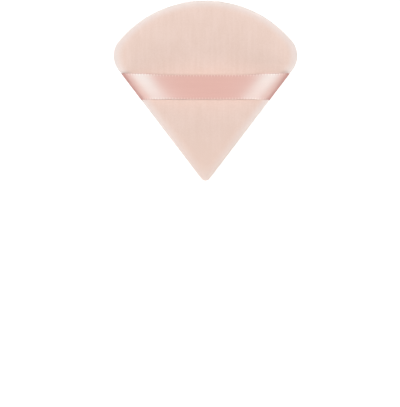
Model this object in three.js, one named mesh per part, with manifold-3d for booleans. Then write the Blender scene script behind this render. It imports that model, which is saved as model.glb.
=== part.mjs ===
// A triangular velour powder puff with a satin finger ribbon, lying on its back.
//
// Two velour panels are sewn together round their edge and turned, so that the seam allowances
// point inwards between them. A foam pad fills the pocket, and the ends of the ribbon are caught
// in the seam on both straight sides, so that it stands in an arch over the front panel.
//
// Millimetres, +Z up. The tip points along -Y and the bowed edge along +Y. The origin is the
// middle of the outline, on the surface that the back panel rests on.

import * as THREE from 'three';
import { mergeVertices } from 'three/addons/utils/BufferGeometryUtils.js';
import Module from 'manifold-3d';

const wasm = await Module();
wasm.setup();

// Outline of the pad, seen from above.
const padWidth = 80; // over the two rounded corners
const padLength = 78.5; // from the tip to the top of the bow
const bowRadius = 49;
const cornerRadius = 10;
const tipRadius = 2.2;

// Half a section through the pad: heights count from the plane of the seam.
const shoulderHeight = 3.9; // top of the rolled edge
const crownRise = 1.1; // how much higher the middle of a panel stands
const rollWidth = 4.6;
const rollExponent = 2.2; // 2 is an ellipse, more is boxier
const restCut = 0.5; // how flat the weight of the pad presses the back panel

// Velour panels.
const coverWall = 1.1; // ground fabric and pile
const lipHeight = 1.3; // where the edge of each panel stands out furthest
const grooveDepth = 0.9; // how far the seam draws in between the two lips
const allowanceWidth = 3.3;
const allowanceThickness = 0.7; // the pile is pressed flat here
const rootFillet = 0.5;

// Satin ribbon.
const ribbonWidth = 11;
const ribbonThickness = 0.4;
const ribbonDrop = 2.2; // from the top of the straight sides to the ribbon's upper edge
const fingerGap = 6; // under the top of the arch
const edgeStandoff = 0.25; // from the edge of the pad to the middle of the ribbon
const velourBend = 0.1; // radius left on the velour where the ribbon turns up round it
const archExponent = 2.2;

// Sewing thread.
const threadWidth = 0.26;
const stitchLength = 4.5;
const stitchInset = 1.5; // from the fold of the seam to the row of stitches

// Clearances, and the overrun of a cutting tool past the faces that it cuts.
const fit = 0.3;
const needleClearance = 0.2;
const overrun = 0.4;

// How finely each stretch is divided.
const tipSteps = 3;
const sideSteps = 3;
const cornerSteps = 5;
const bowSteps = 7;
const rollSteps = 4;
const innerRollSteps = 2;
const lipSteps = 3;
const bendSteps = 3;
const archSteps = 11;

// Rings on the crown of a panel, as shares of the way in from its edge to its middle.
const crownRingShares = [1, 0.7, 0.45];

const seamHeight = shoulderHeight + crownRise - restCut;
const bowCentre = new THREE.Vector2(0, padLength / 2 - bowRadius);

// Each side of the outline is the common tangent of the circles of the tip and of a corner.
const cornerX = padWidth / 2 - cornerRadius;
const cornerY = bowCentre.y + Math.sqrt((bowRadius - cornerRadius) ** 2 - cornerX ** 2);
const tipY = tipRadius - padLength / 2;
const sideAngle = Math.atan2(cornerX, cornerY - tipY)
  + Math.asin((cornerRadius - tipRadius) / Math.hypot(cornerX, cornerY - tipY));
const sideOut = new THREE.Vector2(Math.cos(sideAngle), -Math.sin(sideAngle));
const sideAlong = new THREE.Vector2(Math.sin(sideAngle), Math.cos(sideAngle));
const sideDistance = tipRadius - tipY * Math.sin(sideAngle); // from the origin to the side

// The largest circle inside the outline, towards whose middle the rings shrink.
const middle = new THREE.Vector2(0, (padLength / 2 - sideDistance) / (1 + Math.sin(sideAngle)));
const innerRadius = padLength / 2 - middle.y;

// The outline drawn inwards, counter-clockwise from the tip. Its corners stay rounder than a true
// offset's would, so that the crown has no ridges.
function outline(inset) {
  const shareLeft = 1 - inset / innerRadius;
  if (shareLeft <= 0) return [middle.clone()];
  const cornerR = cornerRadius * shareLeft;
  const tipR = (tipRadius + inset / 2) * shareLeft;

  const tip = new THREE.Vector2(0, (inset + tipR - sideDistance) / Math.sin(sideAngle));
  const off = sideDistance - inset - cornerR;
  const reach = bowRadius - inset - cornerR;
  const along = bowCentre.dot(sideAlong)
    + Math.sqrt(reach ** 2 - (off - bowCentre.dot(sideOut)) ** 2);
  const corner = sideOut.clone().multiplyScalar(off).addScaledVector(sideAlong, along);
  const bowStart = Math.atan2(corner.y - bowCentre.y, corner.x - bowCentre.x);

  const right = [];
  const addArc = (centre, radius, from, to, steps) => {
    for (let i = 0; i < steps; i++) {
      const angle = THREE.MathUtils.lerp(from, to, i / steps);
      const ray = new THREE.Vector2(Math.cos(angle), Math.sin(angle));
      right.push(ray.multiplyScalar(radius).add(centre));
    }
  };
  addArc(tip, tipR, -Math.PI / 2, -sideAngle, tipSteps);
  const sideStart = tip.clone().addScaledVector(sideOut, tipR);
  const sideEnd = corner.clone().addScaledVector(sideOut, cornerR);
  for (let i = 0; i < sideSteps; i++) right.push(sideStart.clone().lerp(sideEnd, i / sideSteps));
  addArc(corner, cornerR, -sideAngle, bowStart, cornerSteps);
  addArc(bowCentre, bowRadius - inset, bowStart, Math.PI / 2, bowSteps);

  const top = new THREE.Vector2(0, bowCentre.y + bowRadius - inset);
  const left = right.slice(1).reverse().map((p) => new THREE.Vector2(-p.x, p.y));
  return [...right, top, ...left];
}

// Closes a row of rings into a skin. A ring has as many points as the others, or one as a pole.
function skin(rings, { loop = false, flip = false } = {}) {
  const count = Math.max(...rings.map((ring) => ring.length));
  const starts = rings.map((ring, i) => rings.slice(0, i).flat().length);
  const faces = [];
  for (let i = 0; i < (loop ? rings.length : rings.length - 1); i++) {
    const next = (i + 1) % rings.length;
    const at = (ring, j) => starts[ring] + (j % rings[ring].length);
    for (let j = 0; j < count; j++) {
      const k = (j + 1) % count;
      if (rings[next].length > 1) faces.push([at(i, j), at(next, j), at(next, k)]);
      if (rings[i].length > 1) faces.push([at(i, j), at(next, k), at(i, k)]);
    }
  }
  const geometry = new THREE.BufferGeometry().setFromPoints(rings.flat());
  return geometry.setIndex(faces.flatMap(([a, b, c]) => (flip ? [a, c, b] : [a, b, c])));
}

// Rings of the outline at pairs of an inset and a height; side is 1 above the seam, -1 below.
const ringsAt = (profile, side = 1) => profile.map(([inset, height]) => outline(inset)
  .map((p) => new THREE.Vector3(p.x, p.y, seamHeight + side * height)));

function toSolid(geometry) {
  const bare = geometry.clone();
  bare.deleteAttribute('normal');
  bare.deleteAttribute('uv');
  const merged = mergeVertices(bare);
  return new wasm.Manifold(new wasm.Mesh({
    numProp: 3,
    vertProperties: merged.attributes.position.array,
    triVerts: new Uint32Array(merged.index.array),
  }));
}

function toGeometry(solid) {
  const { vertProperties, triVerts } = solid.getMesh();
  return new THREE.BufferGeometry()
    .setAttribute('position', new THREE.BufferAttribute(vertProperties, 3))
    .setIndex(new THREE.BufferAttribute(triVerts, 1));
}

const superellipse = (share) => (1 - (1 - share) ** rollExponent) ** (1 / rollExponent);
const crownAt = (inset) => crownRise * (1 - (1 - inset / innerRadius) ** 2);
const restInset = innerRadius * (1 - Math.sqrt(restCut / crownRise)); // edge of the resting face

// Height of a panel's skin, a depth under its outer face.
function skinHeight(inset, depth, side) {
  const share = Math.min((inset - depth) / (rollWidth - depth), 1);
  const rise = (shoulderHeight - depth - lipHeight) * superellipse(share);
  const height = lipHeight + rise + crownAt(inset);
  return side < 0 ? Math.min(height, seamHeight - depth) : height;
}

// The skin's profile from the middle of a panel out over its rolled edge.
function skinProfile(depth, steps, side) {
  const insets = crownRingShares.map((share) => share * innerRadius);
  if (side < 0) insets.push(restInset);
  insets.sort((a, b) => b - a);
  for (let i = 0; i <= steps; i++) {
    const outward = Math.sin((Math.PI / 2) * (i / steps)) ** (2 / rollExponent);
    insets.push(rollWidth - (rollWidth - depth) * outward);
  }
  return insets.map((inset) => [inset, skinHeight(inset, depth, side)]);
}

const allowanceInset = grooveDepth + allowanceWidth;
const allowanceTop = fit / 2 + allowanceThickness;

// A velour panel: its crown and rolled edge, the lip that turns into the seam, the allowance
// that runs inwards along the seam, and back up the inside.
function coverGeometry(side) {
  const lip = Array.from({ length: lipSteps }, (_, i) => {
    const angle = (Math.PI / 2) * ((i + 1) / lipSteps);
    const drop = (lipHeight - fit / 2) * Math.sin(angle);
    return [grooveDepth * (1 - Math.cos(angle)), lipHeight - drop];
  });
  const allowance = [
    [allowanceInset, fit / 2],
    [allowanceInset, allowanceTop],
    [coverWall + rootFillet, allowanceTop],
  ];
  const outside = skinProfile(0, rollSteps, side);
  const inside = skinProfile(coverWall, innerRollSteps, side).reverse();
  return skin(ringsAt([...outside, ...lip, ...allowance, ...inside], side), { flip: side < 0 });
}

// The row of stitches is one thread that passes up and down through both allowances.
const stitchLine = grooveDepth + stitchInset;
const threadHeight = allowanceTop + needleClearance + threadWidth / 2;

// An even number of evenly spaced needle holes round the seam, the first one at the tip.
function placeStitches() {
  const path = new THREE.Path([...outline(stitchLine), outline(stitchLine)[0]]);
  const count = 2 * Math.round(path.getLength() / (2 * stitchLength));
  const points = path.getSpacedPoints(count).slice(0, count);
  return points.map((point, i) => {
    const along = points[(i + 1) % count].clone().sub(points.at(i - 1)).normalize();
    return { point, along };
  });
}

const stitches = placeStitches();

function threadGeometry() {
  const half = threadWidth / 2;
  const rings = stitches.flatMap(({ point, along }, i) => {
    const rising = i % 2 ? 1 : -1;
    const across = new THREE.Vector3(along.y, -along.x, 0).multiplyScalar(half);
    const mitre = new THREE.Vector3(-rising * along.x, -rising * along.y, 1).multiplyScalar(half);
    return [-rising, rising].map((level) => {
      const centre = new THREE.Vector3(point.x, point.y, seamHeight + level * threadHeight);
      return [[-1, -1], [1, -1], [1, 1], [-1, 1]].map(([a, m]) => centre.clone()
        .addScaledVector(across, a)
        .addScaledVector(mitre, m));
    });
  });
  return skin(rings, { loop: true });
}

function needleHoles() {
  const width = threadWidth + 2 * needleClearance;
  return stitches.map(({ point, along }) => {
    const shaft = new THREE.BoxGeometry(width, width, 2 * (allowanceTop + overrun));
    shaft.rotateZ(Math.atan2(along.y, along.x));
    shaft.translate(point.x, point.y, seamHeight);
    return toSolid(shaft);
  }).reduce((all, shaft) => all.add(shaft));
}

// Where a ribbon's edge along y meets an inset from the right side, at a height over the seam.
const bySide = (y, inset, height) => new THREE.Vector3(
  (sideDistance - inset + y * Math.sin(sideAngle)) / Math.cos(sideAngle),
  y,
  seamHeight + height,
);

const archTop = shoulderHeight + crownRise + fingerGap + ribbonThickness / 2;
const bendRadius = velourBend + fit + ribbonThickness / 2;
const sideTopY = cornerY - cornerRadius * Math.sin(sideAngle);
const ribbonY = sideTopY - ribbonDrop - ribbonWidth / 2;

// An edge of the ribbon, from its right tail in the seam, up and over the arch to its left tail.
function ribbonEdge(y, tailInset) {
  const right = [bySide(y, tailInset, 0)];
  for (let i = 0; i <= bendSteps; i++) {
    const angle = (Math.PI / 2) * (i / bendSteps);
    const out = edgeStandoff - bendRadius + bendRadius * Math.sin(angle);
    right.push(bySide(y, -out, bendRadius * (1 - Math.cos(angle))));
  }
  const foot = right.at(-1);
  for (let i = 1; i < archSteps; i++) {
    const angle = (Math.PI / 2) * (i / archSteps);
    const x = foot.x * Math.cos(angle) ** (2 / archExponent);
    const rise = (archTop - bendRadius) * Math.sin(angle) ** (2 / archExponent);
    right.push(new THREE.Vector3(x, y, foot.z + rise));
  }
  const top = new THREE.Vector3(0, y, seamHeight + archTop);
  const left = right.map((p) => new THREE.Vector3(-p.x, p.y, p.z)).reverse();
  return [...right, top, ...left];
}

// The ribbon, or the room for it when it is drawn with a margin all round.
function ribbonSolid(margin = 0, tailInset = allowanceInset) {
  const low = ribbonEdge(ribbonY - ribbonWidth / 2 - margin, tailInset);
  const high = ribbonEdge(ribbonY + ribbonWidth / 2 + margin, tailInset);
  const middles = low.map((p, i) => p.clone().lerp(high[i], 1 / 2));
  const rings = low.map((p, i) => {
    const ahead = middles[Math.min(i + 1, middles.length - 1)];
    const behind = middles[Math.max(i - 1, 0)];
    const up = high[i].clone().sub(p).cross(ahead.clone().sub(behind));
    up.setLength(ribbonThickness / 2 + margin);
    return [p.clone().sub(up), high[i].clone().sub(up), high[i].clone().add(up), p.clone().add(up)];
  });
  return toSolid(skin([[middles[0]], ...rings, [middles.at(-1)]]));
}

// The foam fills both panels, and gives way to the allowances and the stitches round its edge.
function foamSolid() {
  const depth = coverWall + fit;
  const profile = [
    ...skinProfile(depth, rollSteps, 1),
    ...skinProfile(depth, rollSteps, -1).reverse().map(([inset, height]) => [inset, -height]),
  ];
  const grooveHeight = threadHeight + threadWidth / 2 + fit;
  const grooveInset = allowanceInset + fit;
  const groove = skin(ringsAt([
    [-overrun, grooveHeight],
    [-overrun, -grooveHeight],
    [grooveInset, -grooveHeight],
    [grooveInset, grooveHeight],
  ]), { loop: true });
  return toSolid(skin(ringsAt(profile))).subtract(toSolid(groove));
}

function addPiece(name, geometry, colour, roughness) {
  const material = new THREE.MeshStandardMaterial({ color: colour, roughness, metalness: 0 });
  const mesh = new THREE.Mesh(geometry, material);
  mesh.name = name;
  puff.add(mesh);
}

const velourColour = 0xebd0c5;
const ribbonColour = 0xe4b7ac;
const foamColour = 0xf2e8dd;
const threadColour = 0xe2b9ac;

const puff = new THREE.Group();
const holes = needleHoles();
const cuts = holes.add(ribbonSolid(fit, allowanceInset + overrun));
addPiece('front_cover', toGeometry(toSolid(coverGeometry(1)).subtract(cuts)), velourColour, 0.95);
addPiece('back_cover', toGeometry(toSolid(coverGeometry(-1)).subtract(cuts)), velourColour, 0.95);
addPiece('foam_core', toGeometry(foamSolid()), foamColour, 0.9);
addPiece('grip_ribbon', toGeometry(ribbonSolid().subtract(holes)), ribbonColour, 0.35);
addPiece('seam_thread', threadGeometry(), threadColour, 0.6);

export default puff;
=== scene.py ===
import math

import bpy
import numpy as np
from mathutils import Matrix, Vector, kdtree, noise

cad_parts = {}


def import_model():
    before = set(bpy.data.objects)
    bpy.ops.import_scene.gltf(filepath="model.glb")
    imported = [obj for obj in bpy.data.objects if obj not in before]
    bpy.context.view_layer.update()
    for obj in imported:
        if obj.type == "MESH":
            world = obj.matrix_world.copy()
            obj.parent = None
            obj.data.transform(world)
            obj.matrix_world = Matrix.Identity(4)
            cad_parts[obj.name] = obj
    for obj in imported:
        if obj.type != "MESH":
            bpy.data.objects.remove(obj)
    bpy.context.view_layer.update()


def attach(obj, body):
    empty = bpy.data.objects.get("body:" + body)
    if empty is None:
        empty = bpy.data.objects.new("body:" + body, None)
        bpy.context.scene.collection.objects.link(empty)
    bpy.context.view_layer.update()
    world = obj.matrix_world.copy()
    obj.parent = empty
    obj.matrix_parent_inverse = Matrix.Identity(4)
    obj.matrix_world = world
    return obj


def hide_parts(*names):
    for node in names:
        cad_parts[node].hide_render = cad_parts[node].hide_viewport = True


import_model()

# The visual model of a triangular velour powder puff with a satin finger ribbon.
#
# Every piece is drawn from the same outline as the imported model: a bowed edge, two rounded
# corners, two straight sides and a tip. Rings of that outline, drawn inwards step by step, make
# the panels, the pad and the row of stitches.

MM = 0.001

# Outline of the pad, seen from above.
PAD_WIDTH = 80 * MM
PAD_LENGTH = 78.5 * MM
BOW_RADIUS = 49 * MM
CORNER_RADIUS = 10 * MM
TIP_RADIUS = 2.2 * MM

# Half a section through the pad: heights count from the plane of the seam.
SHOULDER_HEIGHT = 3.9 * MM
CROWN_RISE = 1.1 * MM
ROLL_WIDTH = 4.6 * MM
ROLL_EXPONENT = 2.2
REST_CUT = 0.5 * MM
REST_SOFTNESS = 0.12 * MM

# Velour panels.
COVER_WALL = 1.1 * MM
LIP_HEIGHT = 1.3 * MM
GROOVE_DEPTH = 0.9 * MM
ALLOWANCE_WIDTH = 3.3 * MM
ALLOWANCE_THICKNESS = 0.7 * MM
ROOT_FILLET = 0.5 * MM

# Satin ribbon.
RIBBON_WIDTH = 11 * MM
RIBBON_THICKNESS = 0.28 * MM
RIBBON_DROP = 2.2 * MM
FINGER_GAP = 6 * MM
EDGE_STANDOFF = -0.1 * MM
BEND_RADIUS = 0.6 * MM
ARCH_EXPONENT = 2.2

# Sewing thread.
THREAD_WIDTH = 0.26 * MM
STITCH_LENGTH = 4.5 * MM
STITCH_INSET = 1.5 * MM

FIT = 0.3 * MM
NEEDLE_CLEARANCE = 0.2 * MM

# Points on half of a ring, stretch by stretch.
TIP_POINTS = 5
SIDE_POINTS = 20
CORNER_POINTS = 14
BOW_POINTS = 21

SEAM_HEIGHT = SHOULDER_HEIGHT + CROWN_RISE - REST_CUT
BOW_CENTRE_Y = PAD_LENGTH / 2 - BOW_RADIUS
CORNER_X = PAD_WIDTH / 2 - CORNER_RADIUS
CORNER_Y = BOW_CENTRE_Y + math.sqrt((BOW_RADIUS - CORNER_RADIUS) ** 2 - CORNER_X ** 2)
TIP_Y = TIP_RADIUS - PAD_LENGTH / 2
SIDE_ANGLE = math.atan2(CORNER_X, CORNER_Y - TIP_Y) + math.asin(
    (CORNER_RADIUS - TIP_RADIUS) / math.hypot(CORNER_X, CORNER_Y - TIP_Y)
)
SIDE_OUT = np.array([math.cos(SIDE_ANGLE), -math.sin(SIDE_ANGLE)])
SIDE_ALONG = np.array([math.sin(SIDE_ANGLE), math.cos(SIDE_ANGLE)])
SIDE_DISTANCE = TIP_RADIUS - TIP_Y * math.sin(SIDE_ANGLE)
MIDDLE_Y = (PAD_LENGTH / 2 - SIDE_DISTANCE) / (1 + math.sin(SIDE_ANGLE))
INNER_RADIUS = PAD_LENGTH / 2 - MIDDLE_Y
SMALLEST_RING = 0.0005
ALLOWANCE_INSET = GROOVE_DEPTH + ALLOWANCE_WIDTH
ALLOWANCE_TOP = FIT / 2 + ALLOWANCE_THICKNESS
RIBBON_Y = CORNER_Y - CORNER_RADIUS * math.sin(SIDE_ANGLE) - RIBBON_DROP - RIBBON_WIDTH / 2


def arc(centre, radius, start, end, points):
    """Points on an arc, without its last one."""
    angle = np.linspace(start, end, points, endpoint=False)
    return np.stack([centre[0] + radius * np.cos(angle), centre[1] + radius * np.sin(angle)], 1)


def outline(inset, finer=1):
    """A ring of the outline, drawn inwards by an inset, counter-clockwise from the tip."""
    left = max(1 - inset / INNER_RADIUS, SMALLEST_RING)
    corner_r = CORNER_RADIUS * left
    tip_r = (TIP_RADIUS + inset / 2) * left
    tip = np.array([0, (inset + tip_r - SIDE_DISTANCE) / math.sin(SIDE_ANGLE)])
    off = SIDE_DISTANCE - inset - corner_r
    reach = BOW_RADIUS - inset - corner_r
    bow_centre = np.array([0, BOW_CENTRE_Y])
    along = bow_centre @ SIDE_ALONG + math.sqrt(
        max(reach ** 2 - (off - bow_centre @ SIDE_OUT) ** 2, 0)
    )
    corner = SIDE_OUT * off + SIDE_ALONG * along
    bow_start = math.atan2(corner[1] - bow_centre[1], corner[0] - bow_centre[0])
    side_start = tip + SIDE_OUT * tip_r
    side_end = corner + SIDE_OUT * corner_r
    share = np.linspace(0, 1, SIDE_POINTS * finer, endpoint=False)[:, None]
    right = np.concatenate([
        arc(tip, tip_r, -math.pi / 2, -SIDE_ANGLE, TIP_POINTS * finer),
        side_start * (1 - share) + side_end * share,
        arc(corner, corner_r, -SIDE_ANGLE, bow_start, CORNER_POINTS * finer),
        arc(bow_centre, BOW_RADIUS - inset, bow_start, math.pi / 2, BOW_POINTS * finer),
        [[0, BOW_CENTRE_Y + BOW_RADIUS - inset]],
    ])
    return np.concatenate([right, right[1:-1][::-1] * [-1, 1]])


def superellipse(share):
    return (1 - (1 - share) ** ROLL_EXPONENT) ** (1 / ROLL_EXPONENT)


def crown_at(inset):
    return CROWN_RISE * (1 - (1 - inset / INNER_RADIUS) ** 2)


def skin_height(inset, depth, side):
    """Height of a panel's skin over the seam, a depth under its outer face."""
    share = min(max((inset - depth) / (ROLL_WIDTH - depth), 0), 1)
    height = (
        LIP_HEIGHT
        + (SHOULDER_HEIGHT - depth - LIP_HEIGHT) * superellipse(share)
        + crown_at(inset)
    )
    if side > 0:
        return height
    # The back panel flattens smoothly into its resting face.
    flat = SEAM_HEIGHT - depth
    return flat - REST_SOFTNESS * math.log1p(math.exp((flat - height) / REST_SOFTNESS))


def skin_profile(depth, crown_steps, roll_steps, side):
    """Pairs of inset and height from the middle of a panel out over its rolled edge."""
    crown = np.linspace(INNER_RADIUS, ROLL_WIDTH, crown_steps, endpoint=False)
    turn = np.linspace(0, math.pi / 2, roll_steps + 1)
    roll = ROLL_WIDTH - (ROLL_WIDTH - depth) * np.sin(turn) ** (2 / ROLL_EXPONENT)
    return [(inset, skin_height(inset, depth, side)) for inset in [*crown, *roll]]


def lip_profile(steps):
    """From the widest point of a lip down into the seam."""
    turn = np.linspace(0, math.pi / 2, steps + 1)[1:]
    inset = GROOVE_DEPTH * (1 - np.cos(turn))
    height = LIP_HEIGHT - (LIP_HEIGHT - FIT / 2) * np.sin(turn)
    return list(zip(inset, height))


def rings_at(profile, side, finer=1):
    """Rings of points, as an array of rings by points by x, y and z."""
    rings = []
    for inset, height in profile:
        flat = outline(inset, finer)
        level = np.full((len(flat), 1), SEAM_HEIGHT + side * height)
        rings.append(np.concatenate([flat, level], 1))
    return np.array(rings)


def make_mesh(name, points, faces):
    mesh = bpy.data.meshes.new(name)
    mesh.from_pydata(points.tolist(), [], faces)
    mesh.update()
    mesh.shade_smooth()
    piece = bpy.data.objects.new(name, mesh)
    bpy.context.scene.collection.objects.link(piece)
    return piece


def skin(name, rings, loop=False, flip=False):
    """Closes rows of rings into a skin, with a fan at each end or in a loop."""
    count = rings.shape[1]
    points = rings.reshape(-1, 3)
    faces = []
    spans = len(rings) if loop else len(rings) - 1
    nodes = np.arange(len(rings) * count).reshape(len(rings), count)
    for i in range(spans):
        here = nodes[i]
        there = nodes[(i + 1) % len(rings)]
        faces.append(np.stack([here, there, np.roll(there, -1), np.roll(here, -1)], 1))
    faces = np.concatenate(faces).tolist()
    if not loop:
        centres = rings[[0, -1]].mean(axis=1)
        start = len(points)
        points = np.concatenate([points, centres])
        first, last = nodes[0], nodes[-1]
        faces += np.stack([np.full(count, start), first, np.roll(first, -1)], 1).tolist()
        faces += np.stack([np.full(count, start + 1), np.roll(last, -1), last], 1).tolist()
    if flip:
        faces = [face[::-1] for face in faces]
    return make_mesh(name, points, faces)


# Reading and changing a mesh as arrays.
def read_points(mesh):
    points = np.empty(len(mesh.vertices) * 3)
    mesh.vertices.foreach_get("co", points)
    return points.reshape(-1, 3)


def write_points(mesh, points):
    mesh.vertices.foreach_set("co", np.asarray(points).ravel())
    mesh.update()


def read_normals(mesh):
    normals = np.empty(len(mesh.vertices) * 3)
    mesh.vertex_normals.foreach_get("vector", normals)
    return normals.reshape(-1, 3)


def mark(mesh, name, values):
    """Stores one number for each point of a mesh."""
    mesh.attributes.new(name, "FLOAT", "POINT").data.foreach_set("value", np.asarray(values))


def marked(mesh, name):
    values = np.empty(len(mesh.vertices))
    mesh.attributes[name].data.foreach_get("value", values)
    return values


def as_shown(piece):
    """A piece's mesh with its modifiers carried out."""
    return bpy.data.meshes.new_from_object(
        piece.evaluated_get(bpy.context.evaluated_depsgraph_get())
    )


def smooth_step(value, low, high):
    share = np.clip((value - low) / (high - low), 0, 1)
    return share * share * (3 - 2 * share)


def waves(points, length, layer):
    """Smooth noise from about -1 to 1 at each point, with waves of one length."""
    offset = Vector((17.3 * layer, 5.1 * layer, 9.7 * layer))
    return np.array([noise.noise(Vector(point) + offset) for point in (points / length).tolist()])


# Cloth, which is worked out CLOTH_SCALE times as large as the puff.
CLOTH_SCALE = 100
CLOTH_FRAMES = 24
CLOTH_QUALITY = 6
CLOTH_PRESSURE = 0.5
CLOTH_SLACK = 0.015
CLOTH_STIFFNESS = 5
SWELL_LIMIT = 0.4 * MM
MIDDLE_FROM = 0.2 * INNER_RADIUS
MIDDLE_TO = 0.7 * INNER_RADIUS
EDGE_STILL = 0.5 * MM
EDGE_LOOSE = 3.5 * MM


def settle(piece, edge, hold):
    """Lets a panel swell and wrinkle as cloth. hold is 1 where it's sewn and less over the pad.

    The middle, where the mesh is too fine to fold alike, moves ring by ring. The rolled edge
    doesn't move along the floor, because the seam keeps it in line.
    """
    mesh = piece.data
    start = read_points(mesh)
    write_points(mesh, start * CLOTH_SCALE)
    group = piece.vertex_groups.new(name="hold")
    for index, weight in enumerate(hold.tolist()):
        group.add([index], weight, "REPLACE")
    cloth = piece.modifiers.new("cloth", "CLOTH")
    cloth.settings.vertex_group_mass = "hold"
    cloth.settings.quality = CLOTH_QUALITY
    cloth.settings.use_pressure = True
    cloth.settings.uniform_pressure_force = CLOTH_PRESSURE
    cloth.settings.shrink_min = -CLOTH_SLACK
    cloth.settings.bending_stiffness = CLOTH_STIFFNESS
    cloth.settings.effector_weights.gravity = 0
    cloth.collision_settings.use_collision = False
    for step in range(1, CLOTH_FRAMES + 1):
        bpy.context.scene.frame_set(step)
    moved = as_shown(piece)
    move = read_points(moved) / CLOTH_SCALE - start
    piece.modifiers.remove(cloth)
    piece.vertex_groups.clear()
    bpy.data.meshes.remove(moved)
    bpy.context.scene.frame_set(1)
    middle = smooth_step(edge, MIDDLE_FROM, MIDDLE_TO)[:, None]
    for inset in np.unique(edge[edge > MIDDLE_FROM]):
        ring = edge == inset
        move[ring] += (move[ring].mean(axis=0) - move[ring]) * middle[ring]
    move[:, :2] *= smooth_step(edge, EDGE_STILL, EDGE_LOOSE)[:, None]
    far = np.maximum(np.linalg.norm(move, axis=1, keepdims=True), 1e-9)
    write_points(mesh, start + move / far * SWELL_LIMIT * np.tanh(far / SWELL_LIMIT))


def refine(piece, levels):
    """Rounds a piece by subdivision and keeps the result as its mesh."""
    rounding = piece.modifiers.new("rounding", "SUBSURF")
    rounding.levels = levels
    finer = as_shown(piece)
    piece.modifiers.remove(rounding)
    coarse = piece.data
    piece.data = finer
    bpy.data.meshes.remove(coarse)
    finer.name = piece.name


# Colours, as they look on a screen, and made linear for the shaders.
def linear(red, green, blue):
    channels = [c / 255 for c in (red, green, blue)]
    return (*[c / 12.92 if c < 0.04045 else ((c + 0.055) / 1.055) ** 2.4 for c in channels], 1)


VELOUR = linear(236, 211, 200)
VELOUR_DEEP = linear(230, 203, 190)
# Painted sheen: the colour the velour's rolled edge is painted, paler than the rest.
VELOUR_PAINTED_SHEEN = linear(235, 222, 217)
SATIN = linear(237, 190, 179)
SATIN_DEEP = linear(229, 178, 167)
SATIN_EDGE = linear(244, 208, 198)
SATIN_SHADE = linear(229, 180, 170)
# Painted shade for the ribbon's foot, where it turns down into the seam.
SATIN_PAINTED_SHADE = linear(196, 137, 127)
# The ribbon's reverse, painted darker than the face as shade under the arch.
SATIN_REVERSE_SHADE = linear(205, 164, 154)
FOAM = linear(242, 232, 221)
FOAM_DEEP = linear(228, 214, 200)
THREAD = linear(224, 180, 168)
THREAD_DEEP = linear(206, 158, 146)


class Nodes:
    """A material's nodes, added by type and joined by socket names."""

    def __init__(self, name, kind=bpy.data.materials):
        self.material = kind.new(name)
        self.material.use_nodes = True
        self.tree = self.material.node_tree
        self.shader = self.tree.nodes.get("Principled BSDF")

    def add(self, kind, **inputs):
        node = self.tree.nodes.new(kind)
        for key, value in inputs.items():
            self.put(node, key, value)
        return node

    def put(self, node, key, value):
        socket = node.inputs[key.replace("_", " ")] if isinstance(key, str) else node.inputs[key]
        if isinstance(value, bpy.types.NodeSocket):
            self.tree.links.new(value, socket)
        else:
            socket.default_value = value

    def look(self, **values):
        """Sets numbers and colours that are the same all over, on the shader itself."""
        for key, value in values.items():
            self.shader.inputs[key.replace("_", " ")].default_value = value

    def math(self, operation, *values):
        node = self.tree.nodes.new("ShaderNodeMath")
        node.operation = operation
        for i, value in enumerate(values):
            self.put(node, i, value)
        return node.outputs[0]

    def blend(self, first, second, share):
        """A number between two others."""
        return self.math("MULTIPLY_ADD", self.math("SUBTRACT", second, first), share, first)

    def fade(self, value, low, high):
        """Rises smoothly from 0 at low to 1 at high."""
        node = self.tree.nodes.new("ShaderNodeMapRange")
        node.interpolation_type = "SMOOTHSTEP"
        self.put(node, "Value", value)
        self.put(node, "From Min", low)
        self.put(node, "From Max", high)
        return node.outputs[0]

    def noise(self, vector, length, detail=2.0):
        """Noise whose waves have a length in metres."""
        node = self.add("ShaderNodeTexNoise", Vector=vector, Scale=1 / length, Detail=detail)
        return node.outputs["Fac"]

    def stretch(self, vector, x, y, z):
        node = self.tree.nodes.new("ShaderNodeVectorMath")
        node.operation = "MULTIPLY"
        self.put(node, 0, vector)
        node.inputs[1].default_value = (x, y, z)
        return node.outputs[0]

    def place(self):
        return self.tree.nodes.new("ShaderNodeTexCoord").outputs["Object"]

    def marked(self, name):
        node = self.tree.nodes.new("ShaderNodeAttribute")
        node.attribute_name = name
        return node.outputs["Fac"]

    def mix(self, factor, first, second):
        node = self.tree.nodes.new("ShaderNodeMix")
        node.data_type = "RGBA"
        self.put(node, 0, factor)
        self.put(node, 6, first)
        self.put(node, 7, second)
        return node.outputs[2]

    def bump(self, height, strength, distance):
        node = self.add("ShaderNodeBump", Height=height, Strength=strength, Distance=distance)
        self.put(self.shader, "Normal", node.outputs[0])


# How long or wide the waves of the materials' patterns are, and where their marks begin and end.
PATCH_LENGTH = 9 * MM
TUFT_LENGTH = 0.7 * MM
KNIT_WIDTH = 1.2 * MM
# Where the painted sheen on the rolled edge begins and ends.
PAINTED_SHEEN_OUTSIDE = -0.4 * MM
PAINTED_SHEEN_INSIDE = 4.3 * MM
TIP_END = -40 * MM
TIP_SHADE_END = -8 * MM
PAINTED_SHEEN_FULL_FROM = 10 * MM
FLOAT_WIDTH = 0.2 * MM
STREAK_WIDTH = 1.5 * MM
SELVEDGE_FROM = 0.3 * MM
SELVEDGE_TO = 1.2 * MM
CELL_SIZE = 0.7 * MM
FIBRE_LENGTH = 0.2 * MM


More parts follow.
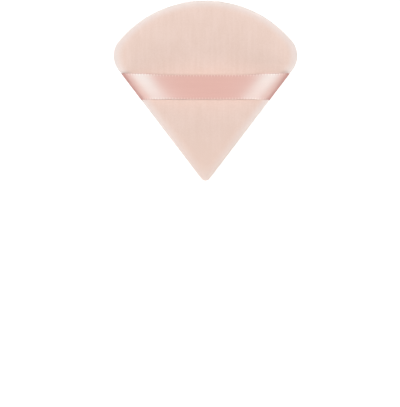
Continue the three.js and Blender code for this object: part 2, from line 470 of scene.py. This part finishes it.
def velour_material():
    """Short pile: soft patches where it leans, tufts, knitted ribs, and painted sheen on the
    rolled edge.

    The painted sheen is strongest round the bow, and the colour darkens towards the tip.
    """
    nodes = Nodes("velour")
    place = nodes.place()
    patches = nodes.noise(place, PATCH_LENGTH, 3)
    tufts = nodes.noise(place, TUFT_LENGTH, 2)
    ribs = nodes.noise(nodes.stretch(place, 1, 0.08, 1), KNIT_WIDTH, 1)
    pile = nodes.blend(nodes.blend(patches, tufts, 0.5), ribs, 0.3)
    along = nodes.add("ShaderNodeSeparateXYZ", Vector=place).outputs[1]
    # The colour darkens towards the tip.
    off_tip = nodes.fade(along, TIP_END, TIP_SHADE_END)
    shade = nodes.math("ADD", pile, nodes.blend(-0.3, 0.0, off_tip))
    body = nodes.mix(nodes.fade(shade, 0.3, 0.7), VELOUR_DEEP, VELOUR)
    painted_sheen_share = nodes.blend(0.45, 1.0, nodes.fade(along, TIP_END, PAINTED_SHEEN_FULL_FROM))
    # Painted sheen: the rolled edge is painted paler, fully round the bow and fainter towards the
    # tip.
    painted_sheen = nodes.fade(nodes.marked("edge"), PAINTED_SHEEN_INSIDE, PAINTED_SHEEN_OUTSIDE)
    painted_sheen = nodes.math("MULTIPLY", painted_sheen_share, painted_sheen)
    nodes.put(nodes.shader, "Base Color", nodes.mix(painted_sheen, body, VELOUR_PAINTED_SHEEN))
    nodes.put(nodes.shader, "Roughness", nodes.blend(1.0, 0.88, pile))
    nodes.look(Specular_IOR_Level=0.1)
    nodes.look(Sheen_Weight=1.0, Sheen_Roughness=0.45, Sheen_Tint=(1, 0.98, 0.96, 1))
    nodes.bump(pile, 0.6, 0.25 * MM)
    return nodes.material


def satin_material():
    """Satin: long floats, gloss across them, ribbed selvedges, and painted shade on its reverse
    and foot.
    """
    nodes = Nodes("satin")
    weave = nodes.add("ShaderNodeUVMap")
    weave.uv_map = "weave"
    weave = weave.outputs[0]
    parts = nodes.add("ShaderNodeSeparateXYZ", Vector=weave)
    floats = nodes.noise(nodes.stretch(weave, 1, 0.06, 1), FLOAT_WIDTH, 2)
    streaks = nodes.noise(nodes.stretch(weave, 1, 0.04, 1), STREAK_WIDTH, 1)
    body = nodes.mix(nodes.blend(floats, streaks, 0.5), SATIN_DEEP, SATIN)
    edge = nodes.math("SUBTRACT", RIBBON_WIDTH / 2, nodes.math("ABSOLUTE", parts.outputs[0]))
    selvedge = nodes.fade(edge, SELVEDGE_TO, SELVEDGE_FROM)
    turn = nodes.math("MULTIPLY", parts.outputs[1], 2 * math.pi / RIB_PITCH)
    rib = nodes.fade(nodes.math("COSINE", turn), -0.6, 1.0)
    woven = nodes.mix(rib, SATIN_SHADE, SATIN_EDGE)
    body = nodes.mix(nodes.math("MULTIPLY", selvedge, 0.7), body, woven)
    # The reverse is painted darker, as painted shade under the arch.
    body = nodes.mix(nodes.marked("reverse"), body, SATIN_REVERSE_SHADE)
    # Painted shade darkens the ribbon's foot where it turns down into the seam; it is rougher
    # there too.
    painted_foot_shade = nodes.marked("painted_foot_shade")
    nodes.put(nodes.shader, "Base Color", nodes.mix(painted_foot_shade, body, SATIN_PAINTED_SHADE))
    roughness = nodes.blend(nodes.blend(0.32, 0.41, floats), 0.85, painted_foot_shade)
    nodes.put(nodes.shader, "Roughness", roughness)
    nodes.look(IOR=1.6, Specular_IOR_Level=0.8, Anisotropic=0.5)
    nodes.look(Specular_Tint=(0.3, 0.96, 1, 1))
    nodes.look(Sheen_Weight=0.15, Sheen_Roughness=0.3)
    tangent = nodes.add("ShaderNodeTangent")
    tangent.direction_type = "UV_MAP"
    tangent.uv_map = "weave"
    nodes.put(nodes.shader, "Tangent", tangent.outputs[0])
    nodes.bump(nodes.blend(floats, streaks, 0.3), 0.3, 0.03 * MM)
    return nodes.material


def foam_material():
    nodes = Nodes("foam")
    cells = nodes.add("ShaderNodeTexVoronoi", Vector=nodes.place(), Scale=1 / CELL_SIZE)
    cells = cells.outputs["Distance"]
    nodes.put(nodes.shader, "Base Color", nodes.mix(cells, FOAM, FOAM_DEEP))
    nodes.put(nodes.shader, "Roughness", nodes.blend(0.85, 1.0, cells))
    nodes.bump(cells, 0.6, 0.2 * MM)
    return nodes.material


def thread_material():
    nodes = Nodes("thread")
    fibres = nodes.noise(nodes.place(), FIBRE_LENGTH, 2)
    nodes.put(nodes.shader, "Base Color", nodes.mix(fibres, THREAD_DEEP, THREAD))
    nodes.put(nodes.shader, "Roughness", nodes.blend(0.7, 0.5, fibres))
    nodes.look(Sheen_Weight=0.3)
    nodes.bump(fibres, 0.5, 0.03 * MM)
    return nodes.material


# The row of stitches, which also puckers the panels.
def seam_line():
    """The stitches' line as points, the way along it to each point, and the number of stitches."""
    ring = outline(STITCH_INSET + GROOVE_DEPTH, 8)
    closed = np.concatenate([ring, ring[:1]])
    reach = np.concatenate([[0], np.cumsum(np.linalg.norm(np.diff(closed, axis=0), axis=1))])
    return closed, reach, 2 * round(reach[-1] / (2 * STITCH_LENGTH))


def stitch_turns(points):
    """How many stitches lie before each point, going round the seam."""
    line, reach, count = seam_line()
    tree = kdtree.KDTree(len(line))
    for index, (x, y) in enumerate(line.tolist()):
        tree.insert((x, y, 0), index)
    tree.balance()
    nearest = [tree.find((x, y, 0))[1] for x, y, _ in points.tolist()]
    return reach[nearest] / reach[-1] * count


# Velour panels.
CROWN_RINGS = 12
ROLL_RINGS = 8
LIP_RINGS = 4
INSIDE_CROWN_RINGS = 6
INSIDE_ROLL_RINGS = 8
FOAM_HOLD = 0.6
SEWN_TO = 0.4 * MM
PAD_FROM = 4.5 * MM
PUCKER_DEPTH = 0.13 * MM
PUCKER_REACH = 1.6 * MM
PUCKER_DRIFT = 0.35
PUCKER_DRIFT_LENGTH = 13 * MM
DENT_DEPTH = 0.07 * MM
DENT_LENGTH = 6 * MM
SMALL_DENT_LENGTH = 1.9 * MM
SMALL_DENT_SHARE = 0.4
PINCH_DEPTH = 0.55 * MM
PINCH_FULL = 1.2 * MM
PINCH_END = 4 * MM
PINCH_BESIDE = 2.4 * MM


def cover(name, side):
    outside = skin_profile(0, CROWN_RINGS, ROLL_RINGS, side)[1:] + lip_profile(LIP_RINGS)
    allowance = [
        (GROOVE_DEPTH + ALLOWANCE_WIDTH / 2, FIT / 2),
        (ALLOWANCE_INSET, FIT / 2),
        (ALLOWANCE_INSET, ALLOWANCE_TOP),
        (COVER_WALL + ROOT_FILLET, ALLOWANCE_TOP),
    ]
    inside = skin_profile(COVER_WALL, INSIDE_CROWN_RINGS, INSIDE_ROLL_RINGS, side)[:0:-1]
    profile = [*outside, *allowance, *inside]
    rings = rings_at(profile, side)
    piece = skin(name, rings, flip=side < 0)
    count = rings.shape[1]
    edge = np.append(np.repeat([inset for inset, _ in profile], count), [INNER_RADIUS] * 2)
    shown = np.append(np.repeat(np.arange(len(profile)) < len(outside), count), [True, False])
    mark(piece.data, "edge", edge)
    mark(piece.data, "shown", shown.astype(float))
    sewn = 1 - smooth_step(edge, SEWN_TO, PAD_FROM) * (1 - FOAM_HOLD)
    settle(piece, edge, np.where(shown, sewn, 1.0))
    refine(piece, 2)
    unsettle(piece)
    if side > 0:
        pinch(piece)
    return piece


def out_of_seam(points):
    """Rises from 0 at the seam's inside to 1 at the lips' widest line."""
    return smooth_step(np.abs(points[:, 2] - SEAM_HEIGHT), FIT / 2, LIP_HEIGHT)


def unsettle(piece):
    """Lays the pile's soft dents and a pucker at each stitch on a panel's outer skin."""
    mesh = piece.data
    points = read_points(mesh)
    edge = marked(mesh, "edge")
    dents = waves(points, DENT_LENGTH, 1)
    dents += SMALL_DENT_SHARE * waves(points, SMALL_DENT_LENGTH, 2)
    turns = stitch_turns(points) + PUCKER_DRIFT * waves(points, PUCKER_DRIFT_LENGTH, 3)
    pucker = np.cos(2 * math.pi * turns) * np.exp(-edge / PUCKER_REACH)
    lift = DENT_DEPTH * dents * smooth_step(edge, 0, 3 * MM) + PUCKER_DEPTH * pucker
    lift = (lift * out_of_seam(points) * marked(mesh, "shown"))[:, None]
    level = smooth_step(edge, 0.2 * MM, 2 * MM)[:, None]
    points += read_normals(mesh) * lift * np.concatenate([level, level, 1 + 0 * level], 1)
    points[:, 2] = np.maximum(points[:, 2], 0)
    write_points(mesh, points)


def pinch(piece):
    """Presses the rolled edge in where the ribbon's ends pass over it."""
    mesh = piece.data
    points = read_points(mesh)
    beside = np.abs(points[:, 1] - RIBBON_Y) - RIBBON_WIDTH / 2
    near = marked(mesh, "shown") * (1 - smooth_step(marked(mesh, "edge"), PINCH_FULL, PINCH_END))
    near *= out_of_seam(points)
    press = near * (1 - smooth_step(beside, 0, PINCH_BESIDE)) * PINCH_DEPTH
    write_points(mesh, points - read_normals(mesh) * press[:, None])


velour = velour_material()
front = cover("velour_front", 1)
back = cover("velour_back", -1)
for piece, node in [(front, "front_cover"), (back, "back_cover")]:
    piece.data.materials.append(velour)
    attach(piece, "root")
    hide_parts(node)


# Foam pad.
FOAM_CROWN_RINGS = 12
FOAM_ROLL_RINGS = 16


def foam_pad():
    depth = COVER_WALL + FIT
    groove_height = ALLOWANCE_TOP + NEEDLE_CLEARANCE + THREAD_WIDTH + FIT
    upper, lower = [
        [
            (inset, height)
            for inset, height in skin_profile(depth, FOAM_CROWN_RINGS, FOAM_ROLL_RINGS, side)
            if height > groove_height + FIT
        ]
        for side in (1, -1)
    ]
    edge = upper[-1][0] - FIT / 2
    groove = ALLOWANCE_INSET + FIT
    profile = [
        *upper,
        (edge, groove_height),
        (groove, groove_height),
        (groove, -groove_height),
        (edge, -groove_height),
        *[(inset, -height) for inset, height in lower[::-1]],
    ]
    return skin("foam_pad", rings_at(profile, 1, 2))


foam = foam_pad()
foam.data.materials.append(foam_material())
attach(foam, "root")
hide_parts("foam_core")

# Satin ribbon.
ARCH_TOP = SHOULDER_HEIGHT + CROWN_RISE + FINGER_GAP + RIBBON_THICKNESS / 2
BEND_STEPS = 16
ARCH_STEPS = 300
RIBBON_ROWS = 640
HALF_STRIPS = 20
BEAD_RISE = 0.05 * MM
RIB_PITCH = 1.3 * MM
RIB_RISE = 0.04 * MM
RIB_REACH = 0.8 * MM
BEAD_INSET = 0.3 * MM
BEAD_WIDTH = 0.18 * MM
SCALLOP = 0.045 * MM
SCALLOP_REACH = 0.4 * MM
EDGE_DROOP = 0.25 * MM
EDGE_WAVE = 0.15 * MM
EDGE_WAVE_LENGTH = 11 * MM
EDGES_APART = 7 * MM
TAIL_THINNESS = 0.6

# The ribbon is narrower in its middle and wider at the ends of its upper edge.
WAIST = 0.2 * MM
FLARE = 0.5 * MM
FLARE_FROM = 14 * MM
FLARE_TO = 28 * MM

# Heights at which the ribbon is free of the seam, and between which the painted shade at its foot
# ends.
FREE_FROM = SEAM_HEIGHT + BEND_RADIUS
FREE_TO = SEAM_HEIGHT + 3 * MM
PAINTED_SHADE_LOW = SEAM_HEIGHT + 2.6 * MM
PAINTED_SHADE_HIGH = SEAM_HEIGHT + 6.2 * MM


def by_side(y, inset, height):
    """Where a line along y meets an inset from the right side, at a height over the seam."""
    x = (SIDE_DISTANCE - inset + y * math.sin(SIDE_ANGLE)) / math.cos(SIDE_ANGLE)
    return (x, y, SEAM_HEIGHT + height)


def ribbon_line(y):
    """The ribbon's middle surface at y, from its right tail over the arch to its left tail."""
    right = [by_side(y, ALLOWANCE_INSET, 0)]
    for turn in np.linspace(0, math.pi / 2, BEND_STEPS + 1):
        out = EDGE_STANDOFF - BEND_RADIUS + BEND_RADIUS * math.sin(turn)
        right.append(by_side(y, -out, BEND_RADIUS * (1 - math.cos(turn))))
    foot_x, _, foot_z = right[-1]
    for turn in np.linspace(0, math.pi / 2, ARCH_STEPS + 1)[1:]:
        x = foot_x * math.cos(turn) ** (2 / ARCH_EXPONENT)
        rise = (ARCH_TOP - BEND_RADIUS) * math.sin(turn) ** (2 / ARCH_EXPONENT)
        right.append((x, y, foot_z + rise))
    right = np.array(right)
    right[-1, 0] = 0
    return np.concatenate([right, right[:-1][::-1] * [-1, 1, 1]])


def line_reach(line):
    return np.concatenate([[0], np.cumsum(np.linalg.norm(np.diff(line, axis=0), axis=1))])


def evenly(line, count):
    """A line's points moved to even steps along it, and the way to each from its middle."""
    reach = line_reach(line)
    at = np.linspace(0, reach[-1], count)
    return np.stack([np.interp(at, reach, line[:, i]) for i in range(3)], 1), at - reach[-1] / 2


def ribbon():
    half = RIBBON_WIDTH / 2
    inward = half * (np.arange(HALF_STRIPS + 1) / HALF_STRIPS) ** 2
    across = np.concatenate([inward - half, (half - inward)[:-1][::-1]])
    lines = [evenly(ribbon_line(RIBBON_Y + y), RIBBON_ROWS) for y in across]
    middle = np.stack([line for line, _ in lines], 1)
    along = np.stack([way for _, way in lines], 1)
    near_end = smooth_step(np.abs(middle[:, :, 0]), FLARE_FROM, FLARE_TO)
    flare = FLARE * near_end * (1 + across / half) / 2
    middle[:, :, 0] += flare * math.tan(SIDE_ANGLE) * np.sign(middle[:, :, 0])
    middle[:, :, 1] += flare - WAIST * (1 - near_end) * across / half
    edge = half - np.abs(across)
    up = np.cross(np.gradient(middle, axis=1), np.gradient(middle, axis=0))
    up /= np.linalg.norm(up, axis=2, keepdims=True)
    free = smooth_step(middle[:, :, 2], FREE_FROM, FREE_TO)
    # Painted shade at the ribbon's foot: full near the seam, fading out higher up.
    painted_foot_shade = 1 - smooth_step(middle[:, :, 2], PAINTED_SHADE_LOW, PAINTED_SHADE_HIGH)
    rib = (0.5 + 0.5 * np.cos(2 * math.pi * along / RIB_PITCH)) ** 2 * free
    at_edge = np.sign(across) * np.exp(-(edge / SCALLOP_REACH) ** 2)
    middle[:, :, 1] += SCALLOP * (rib - 0.4 * free) * at_edge
    lean = (across / half) ** 2
    swaying = np.stack([along, np.sign(across) * EDGES_APART + 0 * along, 0 * along], 2)
    sway = waves(swaying.reshape(-1, 3), EDGE_WAVE_LENGTH, 4).reshape(along.shape)
    middle += up * (free * lean * (EDGE_WAVE * sway - EDGE_DROOP))[:, :, None]
    round_edge = np.sqrt(1 - (1 - np.minimum(edge / (RIBBON_THICKNESS / 2), 1)) ** 2)
    bead = BEAD_RISE * np.exp(-((edge - BEAD_INSET) / BEAD_WIDTH) ** 2) * free
    ribs = RIB_RISE * rib * np.exp(-(edge / RIB_REACH) ** 2)
    body = RIBBON_THICKNESS / 2 * (TAIL_THINNESS + (1 - TAIL_THINNESS) * free)
    thick = (body + bead + ribs) * round_edge
    top = middle + up * thick[:, :, None]
    bottom = (middle - up * thick[:, :, None])[:, -2:0:-1]
    rings = np.concatenate([top, bottom], 1)
    rows, count = rings.shape[:2]
    nodes = np.arange(rows * count).reshape(rows, count)
    faces = []
    for here, there in zip(nodes[:-1], nodes[1:]):
        faces.append(np.stack([here, np.roll(here, -1), np.roll(there, -1), there], 1))
    faces = np.concatenate(faces).tolist()
    faces += [nodes[0][::-1].tolist(), nodes[-1].tolist()]
    piece = make_mesh("satin_ribbon", rings.reshape(-1, 3), faces)
    width_at = np.concatenate([across, across[-2:0:-1]])
    length_at = np.concatenate([along, along[:, -2:0:-1]], 1)
    weave = np.stack([np.broadcast_to(width_at, length_at.shape), length_at], 2).reshape(-1, 2)
    corners = np.empty(len(piece.data.loops), dtype=int)
    piece.data.loops.foreach_get("vertex_index", corners)
    piece.data.uv_layers.new(name="weave").data.foreach_set("uv", weave[corners].ravel())
    mark(piece.data, "painted_foot_shade", np.concatenate([painted_foot_shade, painted_foot_shade[:, -2:0:-1]], 1).ravel())
    mark(piece.data, "reverse", np.concatenate([0 * painted_foot_shade, 1 + 0 * painted_foot_shade[:, -2:0:-1]], 1).ravel())
    return piece


satin = ribbon()
satin.data.materials.append(satin_material())
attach(satin, "root")
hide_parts("grip_ribbon")
ribbon_length = float(line_reach(ribbon_line(RIBBON_Y))[-1])


# Row of stitches, of a thread of two plies.
TWIST_LENGTH = 2.4 * MM
PLY_DEPTH = 0.12
THREAD_SIDES = 12
STITCH_STEPS = 24
STITCH_SHARPNESS = 6


def stitches():
    line, reach, count = seam_line()
    steps = np.arange(count * STITCH_STEPS)
    at = steps / len(steps) * reach[-1]
    x = np.interp(at, reach, line[:, 0])
    y = np.interp(at, reach, line[:, 1])
    level = ALLOWANCE_TOP + NEEDLE_CLEARANCE + THREAD_WIDTH / 2
    wave = np.cos(np.pi * steps / STITCH_STEPS)
    height = -level * np.tanh(STITCH_SHARPNESS * wave) / math.tanh(STITCH_SHARPNESS)
    path = np.stack([x, y, SEAM_HEIGHT + height], 1)
    along = np.roll(path, -1, 0) - np.roll(path, 1, 0)
    along /= np.linalg.norm(along, axis=1, keepdims=True)
    flat = np.stack([along[:, 1], -along[:, 0], np.zeros(len(along))], 1)
    flat /= np.linalg.norm(flat, axis=1, keepdims=True)
    over = np.cross(flat, along)
    twist = 2 * math.pi * round(reach[-1] / TWIST_LENGTH) * np.arange(len(path)) / len(path)
    rings = []
    for turn in np.arange(THREAD_SIDES) / THREAD_SIDES * 2 * math.pi:
        plies = 1 - PLY_DEPTH + PLY_DEPTH * np.cos(2 * (turn - twist))
        radius = THREAD_WIDTH / 2 * plies[:, None]
        rings.append(path + (flat * math.cos(turn) + over * math.sin(turn)) * radius)
    return skin("seam_stitches", np.stack(rings, 1), loop=True)


thread = stitches()
thread.data.materials.append(thread_material())
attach(thread, "root")
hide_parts("seam_thread")


# Floor, light and camera.
OVERHEAD_LIGHT = 0.05
HORIZON_LIGHT = 1.6
HORIZON_NARROWNESS = 3.0
FLOOR_REACH = 1.5
FLOOR_COLOUR = (0.8, 0.8, 0.8, 1)
FLOOR_GLOW = 0.5
WHITE = (1, 1, 1, 1)

# Each soft box: its name, its place, its length along the floor, its height and its power.
SOFT_BOXES = [
    ("left", (-0.75, 0, 0.75), 0.12, 0.5, 6.0),
    ("right", (0.75, 0, 0.75), 0.12, 0.5, 5.55),
    ("front", (0, -1, 0.3), 1.2, 0.3, 2.8),
    ("back", (0, 1, 0.3), 1.2, 0.3, 2.8),
]

# Soft boxes that only glossy surfaces show.
GLOSSY_CARDS = [
    ("left_card", (-0.755, -0.455, 0.7), 0.42, 0.75, 4.2),
    ("right_card", (0.755, -0.455, 0.7), 0.42, 0.75, 4.2),
]


def floor():
    corners = [(-1, -1, 0), (1, -1, 0), (1, 1, 0), (-1, 1, 0)]
    points = np.array(corners) * FLOOR_REACH
    piece = make_mesh("floor", points, [(0, 1, 2, 3)])
    nodes = Nodes("floor")
    rays = nodes.tree.nodes.new("ShaderNodeLightPath").outputs
    seen = nodes.math("MAXIMUM", rays["Is Camera Ray"], rays["Is Glossy Ray"])
    seen = nodes.math("MAXIMUM", seen, rays["Is Transmission Ray"])
    nodes.look(Base_Color=FLOOR_COLOUR, Roughness=0.9, Specular_IOR_Level=0)
    nodes.look(Emission_Color=WHITE)
    nodes.put(nodes.shader, "Emission Strength", nodes.math("MULTIPLY", seen, FLOOR_GLOW))
    piece.data.materials.append(nodes.material)


def world():
    """Pale walls all round, brighter than what is overhead, as in a light tent."""
    nodes = Nodes("studio", bpy.data.worlds)
    way = nodes.tree.nodes.new("ShaderNodeTexCoord").outputs["Generated"]
    level = nodes.math("ABSOLUTE", nodes.add("ShaderNodeSeparateXYZ", Vector=way).outputs[2])
    near_horizon = nodes.math("POWER", nodes.math("SUBTRACT", 1.0, level), HORIZON_NARROWNESS)
    strength = nodes.blend(OVERHEAD_LIGHT, HORIZON_LIGHT, near_horizon)
    rays = nodes.tree.nodes.new("ShaderNodeLightPath").outputs
    strength = nodes.blend(strength, 1.0, rays["Is Camera Ray"])
    background = nodes.tree.nodes["Background"]
    background.inputs["Color"].default_value = WHITE
    nodes.put(background, "Strength", strength)
    bpy.context.scene.world = nodes.material


def lamp(name, place, length, height, power, glossy_only=False):
    """A soft box that faces the puff, as long as given along the floor and as high across it."""
    data = bpy.data.lights.new(name, "AREA")
    data.shape = "RECTANGLE"
    data.size = length
    data.size_y = height
    data.energy = power
    piece = bpy.data.objects.new(name, data)
    piece.location = place
    piece.rotation_euler = (-Vector(place)).to_track_quat("-Z", "Y").to_euler()
    piece.visible_diffuse = not glossy_only
    bpy.context.scene.collection.objects.link(piece)


# The photograph's frame, in pixels, and where the puff lies in it.
FRAME_WIDTH = 400
FRAME_HEIGHT = 407
PUFF_LEFT = 113.5
PUFF_RIGHT = 297.5
PUFF_TOP = 0
PUFF_BOTTOM = 181.5
CAMERA_DISTANCE = 3
SENSOR_WIDTH = 36


def camera():
    scale = PAD_WIDTH / (PUFF_RIGHT - PUFF_LEFT)
    across = FRAME_WIDTH / 2 - (PUFF_LEFT + PUFF_RIGHT) / 2
    down = (PUFF_TOP + PUFF_BOTTOM) / 2 - FRAME_HEIGHT / 2
    data = bpy.data.cameras.new("camera")
    data.sensor_width = SENSOR_WIDTH
    data.lens = SENSOR_WIDTH * CAMERA_DISTANCE / (FRAME_HEIGHT * scale)
    data.clip_end = 10
    piece = bpy.data.objects.new("camera", data)
    piece.location = (across * scale, down * scale, CAMERA_DISTANCE + SEAM_HEIGHT)
    bpy.context.scene.collection.objects.link(piece)
    bpy.context.scene.camera = piece


floor()
world()
for soft_box in SOFT_BOXES:
    lamp(*soft_box)
for card in GLOSSY_CARDS:
    lamp(*card, glossy_only=True)
camera()
bpy.context.scene.view_settings.view_transform = "Standard"
